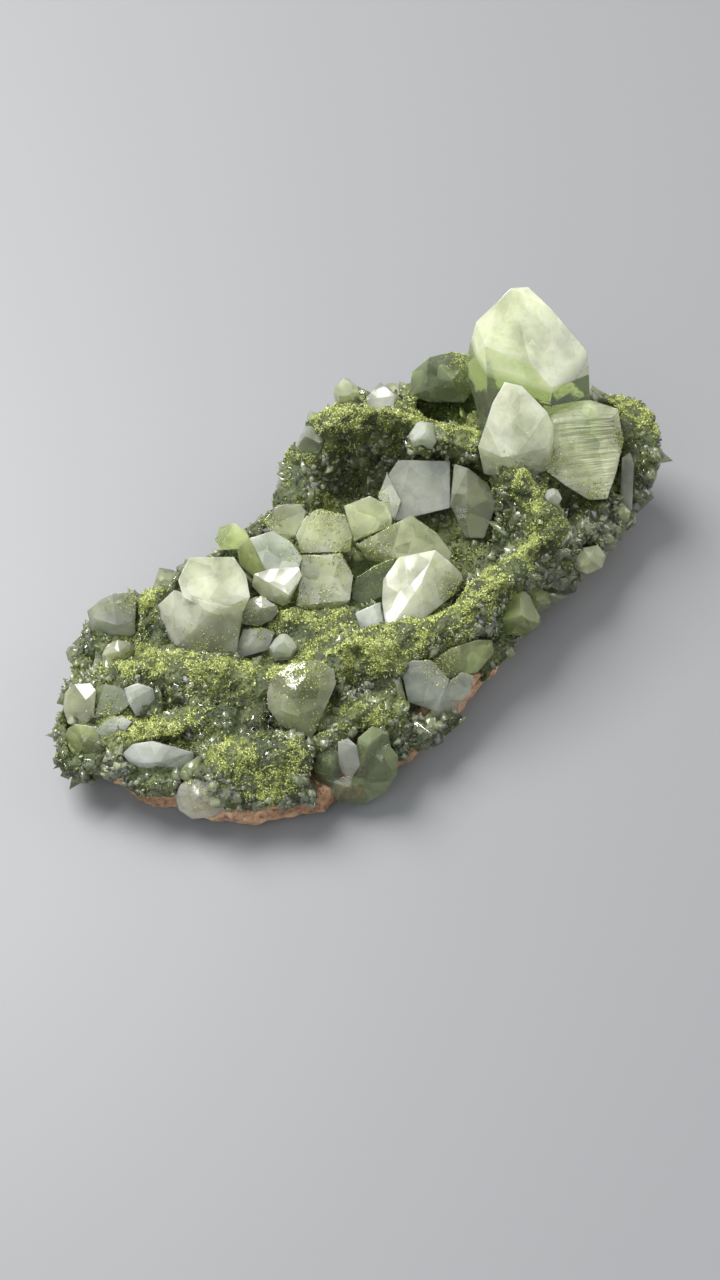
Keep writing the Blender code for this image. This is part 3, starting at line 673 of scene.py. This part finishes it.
def triangles_of(mesh):
    """Corner places of every triangle, and their areas and directions."""
    mesh.calc_loop_triangles()
    index = np.empty(len(mesh.loop_triangles) * 3, int)
    mesh.loop_triangles.foreach_get("vertices", index)
    at = corners(mesh)[0][index].reshape(-1, 3, 3)
    across = np.cross(at[:, 1] - at[:, 0], at[:, 2] - at[:, 0])
    size = np.linalg.norm(across, axis=1)
    return at, size / 2, across / np.maximum(size, tiny)[:, None]


def scatter(mesh, count, weight):
    """Random places on a mesh, even by area times weight, and the directions out of it there."""
    at, area, out = triangles_of(mesh)
    share = area * weight(at.mean(axis=1), out)
    pick = chance.choice(len(at), count, p=share / share.sum())
    a, b = chance.random((2, count, 1))
    flip = (a + b) > 1
    a, b = np.where(flip, 1 - a, a), np.where(flip, 1 - b, b)
    spots = at[pick, 0] + a * (at[pick, 1] - at[pick, 0]) + b * (at[pick, 2] - at[pick, 0])
    return spots, out[pick]


def unit(vectors):
    """Arrows of length one."""
    return vectors / np.maximum(np.linalg.norm(vectors, axis=1, keepdims=True), tiny)


def mesh_piece(name, places, faces):
    """A piece from arrays of corner places and triangles."""
    mesh = bpy.data.meshes.new(name)
    mesh.vertices.add(len(places))
    mesh.vertices.foreach_set("co", places.ravel())
    mesh.loops.add(faces.size)
    mesh.loops.foreach_set("vertex_index", faces.ravel())
    mesh.polygons.add(faces.size // 3)
    mesh.polygons.foreach_set("loop_start", np.arange(0, faces.size, 3))
    mesh.update(calc_edges=True)
    mesh.validate()
    thing = bpy.data.objects.new(name, mesh)
    bpy.context.scene.collection.objects.link(thing)
    return thing


look_around = 2 * mm
trees = []
for piece in crystals:
    places = corners(piece.data)[0]
    faces = [list(p.vertices) for p in piece.data.polygons]
    trees.append((BVHTree.FromPolygons(places.tolist(), faces), places.min(axis=0), places.max(axis=0)))


def depth_in_quartz(spots):
    """How far places are inside the large crystals: negative outside, and -look_around far away."""
    depth = np.full(len(spots), -look_around)
    for tree, low, high in trees:
        close = np.all((spots > low - look_around) & (spots < high + look_around), axis=1)
        for k in np.flatnonzero(close):
            spot = Vector(spots[k])
            at, out, _, away = tree.find_nearest(spot)
            depth[k] = max(depth[k], away if (spot - at).dot(out) < 0 else -away)
    return depth


def crust_cover(at, out):
    """Where things grow on the crust: not against the rock, few on undersides."""
    cover = np.clip(1.1 + 1.2 * out[:, 2], 0.12, 1.6)
    cover[(out[:, 2] < -0.4) & (at[:, 2] < bare_below)] = 0.0
    return cover


point_corners = np.array(
    [(math.cos(math.tau * k / 6), math.sin(math.tau * k / 6), -1.1) for k in range(6)]
    + [(math.cos(math.tau * k / 6), math.sin(math.tau * k / 6), 0.0) for k in range(6)]
    + [(0, 0, 1.15)])
point_faces = np.array(
    [f for k in range(6) for f in (
        (k, (k + 1) % 6, 6 + (k + 1) % 6), (k, 6 + (k + 1) % 6, 6 + k), (6 + k, 6 + (k + 1) % 6, 12))]
    + [(0, 5, 4), (0, 4, 3), (0, 3, 2), (0, 2, 1)])


def small_points(name, spots, axes, width):
    """Many small quartz points as one piece, each a six-sided prism with an uneven tip."""
    count = len(spots)
    turn = unit(np.cross(axes, chance.normal(size=(count, 3))))
    other = np.cross(axes, turn)
    shape = np.repeat(point_corners[None], count, axis=0)
    shape[:, :, 1] *= chance.uniform(0.4, 1.0, (count, 1))
    slope = chance.uniform(-0.45, 0.45, (count, 2, 1))
    shape[:, 6:12, 2] += shape[:, 6:12, 0] * slope[:, 0] + shape[:, 6:12, 1] * slope[:, 1]
    shape[:, 6:12:2, 2] -= chance.uniform(0.1, 0.5, (count, 1))
    shape[:, 7:12:2, 2] += chance.uniform(0.0, 0.35, (count, 1))
    shape[:, 12, :2] += chance.uniform(-0.45, 0.45, (count, 2))
    shape[:, 6:, 2] *= chance.uniform(0.9, 1.7, (count, 1))
    shape *= (width / 2)[:, None, None]
    at = (spots[:, None] + shape[..., 0:1] * turn[:, None] + shape[..., 1:2] * other[:, None]
          + shape[..., 2:3] * axes[:, None])
    faces = point_faces[None] + len(point_corners) * np.arange(count)[:, None, None]
    return mesh_piece(name, at.reshape(-1, 3), faces)


# Dusted lines on the ridges and slopes, where the bright grains stand as epidote dust and painted top light:
# a reach, and the places on the line, in mm.
ridge_dust_and_painted_light = [
    (5.5, [(5, 26.5, 19), (9.2, 26.5, 21.3), (12.7, 22.5, 24.2), (18.2, 21.2, 22.8), (22.1, 17.8, 22.1),
           (25.5, 12.5, 23), (26, 7, 24)]),
    (5.4, [(25.2, -1.7, 24.5), (25.2, -6.6, 23.9), (26.3, -10.4, 22.9), (27.7, -13, 20.4),
           (26.5, -15.6, 20), (22.7, -16.1, 19.5), (17.4, -16, 19.6), (6, -16.5, 18.5), (-6.2, -15.7, 17.6),
           (-10.4, -16.1, 16.3), (-13.4, -12.4, 14.6), (-17.5, -8.7, 14.1), (-21.8, -6.5, 12.7)]),
    (4.0, [(-25, -5, 13), (-30, -2.1, 15), (-34, 0.2, 15.1), (-36.5, 5.1, 13.9), (-39.1, 10.4, 11.6),
           (-43, 9.7, 13)]),
    (4.0, [(50, -1, 20), (55.6, -1.6, 18.6), (57.5, -7.2, 18.1)]),
    (3.5, [(-17.2, 4.1, 10.7), (-14.7, 0.6, 11.6), (-10.8, -2.4, 12.3), (-10.1, -5.5, 13.1)]),
    (2.8, [(-21, -17.1, 13.3), (-20, -19.7, 12.8), (-17, -22, 11.9)]),
    (3.4, [(-48, 3.8, 10.7), (-46, -0.5, 11.4), (-44, -4.5, 11.5), (-40.8, -5.3, 12.3)]),
    (3.6, [(-37.8, -13, 11.9), (-36.9, -18.1, 10.4), (-34.9, -21.6, 8.6), (-30.4, -20.7, 11.6)]),
    (3.5, [(-30.7, 20.7, 11.2), (-31.3, 16.2, 13.6), (-38, 17, 13)]),
    (3.0, [(3.2, 17.5, 11), (1, 12, 15)]),
    (4.5, [(34, 22, 22), (42, 16, 22), (50, 6, 20)]),
]


def on_ridge(at):
    """How near places are to the dusted lines: 1 on them, 0 far away."""
    best = np.zeros(len(at))
    for reach, line in ridge_dust_and_painted_light:
        line = np.array(line) * mm
        for a, b in zip(line, line[1:]):
            share = np.clip(((at - a) @ (b - a)) / ((b - a) @ (b - a)), 0, 1)
            away = np.linalg.norm(at - a - share[:, None] * (b - a), axis=1)
            best = np.maximum(best, np.exp(-(away / (reach * mm)) ** 2))
    return best


def druse_cover(at, out):
    """Druse: thick on slopes, near side and left end, thin on the ridges' tops."""
    cover = crust_cover(at, out)
    patch = field(at, 7 * mm, 31)
    near = np.clip((-at[:, 1] - 9 * mm) / (7 * mm), 0, 1)
    left = np.clip((-at[:, 0] - 22 * mm) / (15 * mm), 0, 1)
    steep = np.clip(1.2 - out[:, 2], 0.1, 1.2)
    bare = np.clip(1.15 - 1.25 * on_ridge(at), 0, 1)
    return cover * steep * bare * np.clip(0.5 + 1.1 * patch + 0.9 * near + 0.6 * left, 0.05, 2.5)


widest = 0.45
lean_up = np.array([0, 0, 0.35])
lean_any_way = 0.75
# Each kind has a finish, a count, a middle width, how much the width varies, and how deep it sits.
druse_kinds = {
    "green": (dark_quartz, 560, 2.8 * mm, 0.40, 0.35),
    "pale": (druse_quartz, 640, 2.1 * mm, 0.45, 0.20),
    "frosted": (frosted_quartz, 60, 2.0 * mm, 0.30, 0.25),
    "fine": (druse_quartz, 3000, 0.9 * mm, 0.35, 0.0)}
for kind, (finish, count, middle, vary, sink) in druse_kinds.items():
    spots, out = scatter(crust.data, count, druse_cover)
    width = middle * np.exp(np.clip(chance.normal(0, vary, count), -1, widest))
    free = depth_in_quartz(spots) < -0.3 * width
    spots, out, width = spots[free], out[free], width[free]
    axes = unit(out + lean_up + lean_any_way * chance.normal(size=spots.shape))
    spots -= out * (sink * width)[:, None]
    druse = small_points("quartz_druse_" + kind, spots, axes, width)
    druse.data.materials.append(finish)
    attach(druse, "root")


# The epidote dust: tens of thousands of tiny epidote prisms. They lie thick and bright yellow-green along
# the ridges' tops, where they face up, a brightness that is partly epidote dust and partly painted top
# light, and thin and dark olive elsewhere, with the druse bare between them.

prism = (
    np.array([(1, 0.05, -0.35), (0.1, 0.62, -0.35), (-1, -0.05, -0.35), (-0.1, -0.62, -0.35),
              (1, 0.05, 0.72), (0.1, 0.62, 0.95), (-1, -0.05, 1.0), (-0.1, -0.62, 0.78)]),
    np.array([(0, 1, 5), (0, 5, 4), (1, 2, 6), (1, 6, 5), (2, 3, 7), (2, 7, 6), (3, 0, 4), (3, 4, 7),
              (4, 5, 6), (4, 6, 7), (0, 3, 2), (0, 2, 1)]))
wedge = (
    np.array([(1, 0.1, -0.3), (-0.1, 0.9, -0.3), (-1, -0.1, -0.3), (0.1, -0.9, -0.3), (0.25, 0.1, 1.0)]),
    np.array([(0, 1, 4), (1, 2, 4), (2, 3, 4), (3, 0, 4), (0, 3, 2), (0, 2, 1)]))


def prisms(name, grain, spots, axes, length, width):
    """Many small grains of one shape as one piece."""
    shape_corners, shape_faces = grain
    count = len(spots)
    turn = unit(np.cross(axes, chance.normal(size=(count, 3))))
    other = np.cross(axes, turn)
    shape = shape_corners[None] * np.stack([width / 2, width / 2, length], axis=1)[:, None]
    shape[:, 4:, 2] *= chance.uniform(0.8, 1.1, (count, len(shape_corners) - 4))
    at = (spots[:, None] + shape[..., 0:1] * turn[:, None] + shape[..., 1:2] * other[:, None]
          + shape[..., 2:3] * axes[:, None])
    faces = shape_faces[None] + len(shape_corners) * np.arange(count)[:, None, None]
    return mesh_piece(name, at.reshape(-1, 3), faces)


grain_clear = 0.34 * mm
bright_count = 60000
dark_count = 12000


def dust_and_painted_top_light_cover(at, out):
    """Bright grains, partly epidote dust and partly painted top light: in clumps on the dusted lines, where
    they face up.
    """
    patch = field(at, 2.6 * mm, 33)
    # More bright grains where the crust faces up: painted top light.
    up = np.clip((out[:, 2] + 0.25) / 0.9, 0, 1)
    clump = field(at, 1.1 * mm, 34)
    return (crust_cover(at, out) * up * (on_ridge(at) ** 1.8)
            * np.clip(0.7 + 2.6 * patch, 0.04, 2.2) * np.clip(0.8 + 2.2 * clump, 0.06, 2.2))


def dark_cover(at, out):
    """Dark grains: in patches on the whole crust, fewer on the dusted lines."""
    patch = field(at, 4.0 * mm, 35) + 0.5 * field(at, 1.6 * mm, 36)
    return crust_cover(at, out) * np.clip(0.5 + 1.3 * patch, 0.1, 2) * (1.15 - on_ridge(at))


def dust_piece(name, grain, spots, out, long, wide, parts, colours, rough):
    """Grains of one kind, lengths and widths in mm, in even pieces from left to right."""
    wild = chance.normal(size=spots.shape)
    swirl = np.stack([field(spots, 1.4 * mm, 20 + k) for k in range(3)], axis=1)
    axes = unit(out * 0.6 + wild * 0.7 + swirl * 1.2)
    length = chance.uniform(*long, len(spots)) * mm
    width = chance.uniform(*wide, len(spots)) * mm
    finish = new_material(name)
    island = node(finish, "ShaderNodeNewGeometry").outputs["Random Per Island"]
    link(finish, ramp(finish, island, colours), shader(finish).inputs["Base Color"])
    shader(finish).inputs["Roughness"].default_value = rough
    order = np.argsort(spots[:, 0])
    for k, own in enumerate(np.array_split(order, parts)):
        grains = prisms(f"{name}_{k + 1}", grain, spots[own], axes[own], length[own], width[own])
        grains.data.materials.append(finish)
        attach(grains, "root")


def on_crust(count, cover):
    """Places for grains on the crust, clear of the large crystals."""
    spots, out = scatter(crust.data, count, cover)
    free = depth_in_quartz(spots) < -grain_clear
    return spots[free], out[free]


# Bright grains on the up-facing ridge tops: epidote dust and painted top light.
dust_piece(
    "epidote_dust_and_painted_top_light", wedge, *on_crust(bright_count, dust_and_painted_top_light_cover),
    long=(0.18, 0.5), wide=(0.18, 0.36), parts=3, rough=0.35, colours=[
        (0.0, (0.06, 0.08, 0.015)), (0.3, (0.14, 0.17, 0.035)), (0.6, (0.28, 0.32, 0.07)),
        (0.88, (0.46, 0.50, 0.14)), (1.0, (0.78, 0.80, 0.48))])
dust_piece(
    "epidote_dark_grains", prism, *on_crust(dark_count, dark_cover),
    long=(0.25, 0.7), wide=(0.2, 0.45), parts=2, rough=0.22, colours=[
        (0.0, (0.016, 0.022, 0.008)), (0.45, (0.06, 0.08, 0.018)), (0.8, (0.15, 0.185, 0.04)),
        (0.95, (0.28, 0.32, 0.08)), (1.0, (0.55, 0.58, 0.3))])


# The dust on the crystals: patches of the same fine epidote that grew on the quartz, where crystals
# meet and on some of their tops. Each patch has a place in the photograph, a height and a reach.

crystal_dust = [
    (330, 517, 18, 2.6), (348, 554, 16, 2.8), (375, 556, 14.5, 2.2), (300, 550, 16.5, 1.8),
    (550, 462, 22, 2.6), (463, 360, 27, 2.4),
    (300, 668, 18, 3.6), (325, 594, 14, 1.4), (515, 472, 22, 3.2), (592, 498, 17, 2.4),
    (135, 600, 15, 2.0), (205, 657, 11, 3.4), (455, 594, 15, 2.6), (112, 715, 11, 2.2),
    (200, 784, 8.5, 2.2), (322, 735, 12, 2.2), (440, 662, 15, 2.6), (255, 620, 13, 2.4),
    (300, 612, 12, 3.0), (388, 500, 13, 1.4), (270, 525, 15.5, 1.6), (620, 440, 21, 2.0)]
dust_middles = np.array([seen(x, y, z) for x, y, z, _ in crystal_dust])
dust_reaches = np.array([reach * mm for *_, reach in crystal_dust])


def crystal_cover(at, out):
    """Dust on crystals: near the middle of each patch, where they face up."""
    away = np.linalg.norm(at[:, None] - dust_middles[None], axis=2) / dust_reaches
    return np.exp(-away ** 2).max(axis=1) * np.clip(out[:, 2] + 0.5, 0, 1)


body = bmesh.new()
for piece in crystals:
    body.from_mesh(piece.data)
long_edge = 1.2 * mm
most_cuts = 5
just_above = 0.1 * mm
crystal_dust_count = 5000
bmesh.ops.triangulate(body, faces=body.faces[:])
for _ in range(most_cuts):
    long_ones = [e for e in body.edges if e.calc_length() > long_edge]
    bmesh.ops.subdivide_edges(body, edges=long_ones, cuts=1)
    bmesh.ops.triangulate(body, faces=body.faces[:])
faces_to_dust = bpy.data.meshes.new("faces_to_dust")
body.to_mesh(faces_to_dust)
body.free()
spots, out = scatter(faces_to_dust, crystal_dust_count, crystal_cover)
bpy.data.meshes.remove(faces_to_dust)
outside = depth_in_quartz(spots + out * just_above) < 0
dust_piece(
    "epidote_crystal_dust", wedge, spots[outside], out[outside],
    long=(0.15, 0.4), wide=(0.16, 0.32), parts=1, rough=0.35, colours=[
        (0.0, (0.07, 0.09, 0.015)), (0.4, (0.22, 0.25, 0.05)), (0.9, (0.48, 0.51, 0.15)),
        (1.0, (0.75, 0.78, 0.42))])


# The table: a plain pale floor, a hair below the specimen so that the two faces stay apart.

floor_mesh = bpy.data.meshes.new("table_top")
table_reach = 3.0
table_gap = 0.2 * mm
table_corners = [(x * table_reach, y * table_reach, 0) for x, y in ((-1, -1), (1, -1), (1, 1), (-1, 1))]
floor_mesh.from_pydata(table_corners, [], [(0, 1, 2, 3)])
table = bpy.data.objects.new("table_top", floor_mesh)
table.location.z = -table_gap
bpy.context.scene.collection.objects.link(table)
table_finish = new_material("pale_table")
shader(table_finish).inputs["Base Color"].default_value = (0.20, 0.205, 0.215, 1.0)
shader(table_finish).inputs["Roughness"].default_value = 0.55
table.data.materials.append(table_finish)


# The light: a bright dome, one large soft window behind and above on the left, which the upper faces
# mirror, and two weak ones on the right and in front.

world = bpy.data.worlds.new("studio")
world.use_nodes = True
world.node_tree.nodes["Background"].inputs["Color"].default_value = (0.97, 0.99, 1.0, 1.0)
world.node_tree.nodes["Background"].inputs["Strength"].default_value = 0.46
bpy.context.scene.world = world


def window(name, place, size, power, colour):
    """A soft square light that faces the specimen: its place and size in metres, its power in watts."""
    light = bpy.data.lights.new(name, "AREA")
    light.size = size
    light.energy = power
    light.color = colour
    thing = bpy.data.objects.new(name, light)
    thing.location = place
    thing.rotation_euler = (-Vector(place)).to_track_quat("-Z", "Y").to_euler()
    bpy.context.scene.collection.objects.link(thing)


window("window_behind", (-0.10, 0.44, 0.62), 0.45, 11.5, (1.0, 0.99, 0.96))
window("window_right", (0.66, -0.25, 0.40), 0.5, 2.6, (1.0, 1.0, 0.97))
window("window_front", (-0.5, -0.2, 0.6), 0.6, 2.5, (0.92, 0.96, 1.0))

# The camera: it stands where the photograph's did, with the same angle of view.

frame_width = 36.0
focal_length = 35.16
nearest_seen = 5 * mm
lens = bpy.data.cameras.new("camera")
lens.sensor_width = frame_width
lens.sensor_fit = "AUTO"
lens.lens = focal_length
lens.clip_start = nearest_seen
camera = bpy.data.objects.new("camera", lens)
camera.location = eye
camera.rotation_euler = view_turn.to_euler()
bpy.context.scene.collection.objects.link(camera)
bpy.context.scene.camera = camera
bpy.context.scene.view_settings.view_transform = "Standard"
